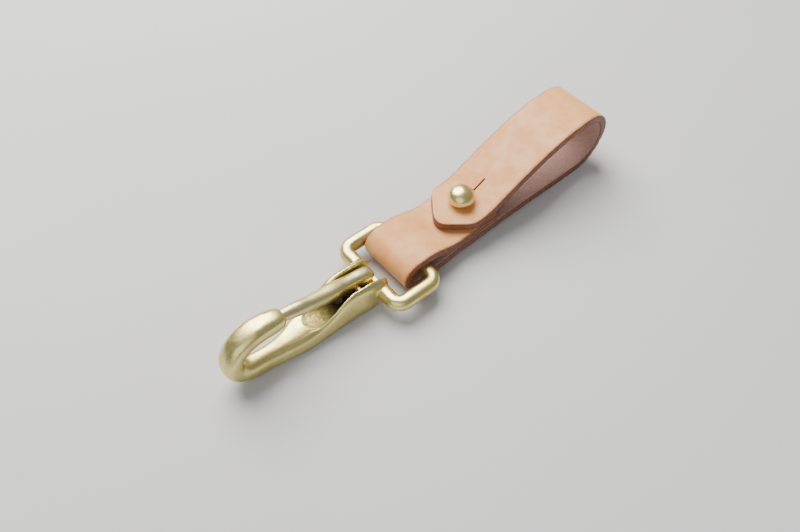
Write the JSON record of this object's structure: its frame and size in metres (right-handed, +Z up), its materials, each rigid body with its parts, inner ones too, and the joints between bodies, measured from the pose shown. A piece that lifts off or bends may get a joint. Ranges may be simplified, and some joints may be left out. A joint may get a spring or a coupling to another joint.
{
  "type": "key holder",
  "caption": "Leather belt-loop key holder with a brass lever-gate snap hook and a ball stud that buttons the loop closed.",
  "frame": {"origin": "on the surface it lies on, under the middle of the whole object's length and width", "axes": "+X from the hook's bend to the far end of the belt loop, +Y across the strap, +Z up"},
  "size_m": [0.1528, 0.0324, 0.0244],
  "materials": {
    "brass_cast": "tumbled satin casting",
    "brass_polished": "polished",
    "spring_steel": "bright wire",
    "leather": "smooth vegetable-tanned grain, burnished edges"
  },
  "bodies": {
    "hook": {"hook_body": "brass_cast", "gate_pin": "brass_cast", "gate_spring": "spring_steel"},
    "gate": {"gate": "brass_cast"},
    "strap": {"strap_base": "leather", "stud_post": "brass_polished", "stud_screw": "brass_polished"},
    "strap_flap": {"strap_flap": "leather"}
  },
  "joints": [
    {"name": "gate_hinge", "type": "hinge", "parent": "hook", "child": "gate", "pos_m": [-0.02994, 0, 0.007], "axis": [0, 1, 0], "range_deg": [-15, 0], "stiffness_Nm_per_rad": 0.06, "springref_deg": 28.65, "deforming": ["gate_spring"]},
    {"name": "strap_hinge", "type": "hinge", "parent": "hook", "child": "strap", "pos_m": [-0.00854, 0, 0.0061], "axis": [0, 1, 0], "range_deg": [-120, 120]},
    {"name": "flap_hinge", "type": "hinge", "parent": "strap", "child": "strap_flap", "pos_m": [0.07153, 0.00334, 0.0122], "axis": [-0.0279, 0.9996, 0], "range_deg": [0, 30], "stiffness_Nm_per_rad": 0.06, "deforming": ["strap_flap"]}
  ]
}
